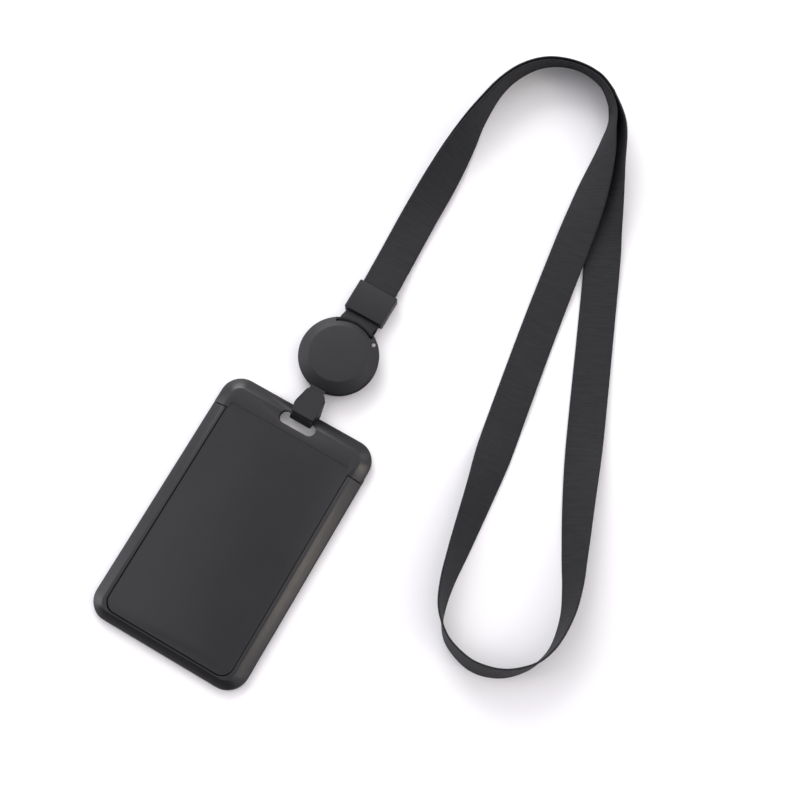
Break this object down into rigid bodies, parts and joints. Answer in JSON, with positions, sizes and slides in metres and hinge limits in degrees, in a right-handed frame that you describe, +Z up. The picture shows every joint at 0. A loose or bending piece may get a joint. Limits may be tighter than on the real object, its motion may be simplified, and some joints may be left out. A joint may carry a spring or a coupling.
{
  "type": "lanyard badge holder",
  "caption": "Neck strap with a buckle, a round retractable cord reel, a hook tab and a hard slide-open portrait card holder.",
  "frame": {"origin": "on the table under the middle of the assembly, measured without the neck strap", "axes": "+Y along the assembly from the card holder to the buckle, +X to the holder's right seen from its closed face, +Z up from the table, out of the closed face"},
  "size_m": [0.1595, 0.2901, 0.0146],
  "materials": {
    "neck_strap": "fine ribbed weave",
    "strap_end_loop": "fine ribbed weave",
    "buckle": "satin",
    "reel_front_cap": "satin",
    "reel_back_case": "satin",
    "eyelet": "bright",
    "spring": "spring strip",
    "spool": "moulded",
    "pull_cord": "braided",
    "hook_tab": "soft moulded",
    "slide_cover": "fine satin",
    "card_frame": "fine satin",
    "card_window": "clear plastic sheet"
  },
  "bodies": {
    "lanyard": {"neck_strap": "neck_strap", "buckle_front": "buckle", "buckle_back": "buckle"},
    "reel": {"strap_end_loop": "strap_end_loop", "reel_front_cap": "reel_front_cap", "reel_back_case": "reel_back_case", "exit_eyelet": "eyelet", "reel_spring": "spring"},
    "spool": {"reel_spool": "spool", "cord_winding": "pull_cord"},
    "tab": {"hook_tab": "hook_tab", "pull_cord": "pull_cord", "cord_ferrule": "eyelet"},
    "cover": {"slide_cover": "slide_cover"},
    "frame": {"card_frame": "card_frame", "card_window": "card_window"}
  },
  "joints": [
    {"name": "reel_swing", "type": "hinge", "parent": "lanyard", "child": "reel", "pos_m": [0, 0.0674, 0.0024], "axis": [1, 0, 0], "range_deg": [-35, 35], "deforming": ["strap_end_loop"]},
    {"name": "cord_pull", "type": "slide", "parent": "reel", "child": "tab", "axis": [0, -1, 0], "range_m": [0, 0.6], "stiffness_N_per_m": 1, "springref_m": -0.5, "deforming": ["pull_cord"]},
    {"name": "spool_spin", "type": "hinge", "parent": "reel", "child": "spool", "pos_m": [0, 0.0496, 0.004], "axis": [0, 0, -1], "range_deg": [0, 3440], "deforming": ["reel_spring"]},
    {"name": "holder_swing", "type": "hinge", "parent": "tab", "child": "cover", "pos_m": [0, 0.023, 0.00375], "axis": [1, 0, 0], "range_deg": [-90, 90]},
    {"name": "frame_slide", "type": "slide", "parent": "cover", "child": "frame", "axis": [0, -1, 0], "range_m": [0, 0.085]}
  ],
  "couplings": [
    {"joint": "spool_spin", "follows": "cord_pull", "rad_per_m": 100}
  ]
}
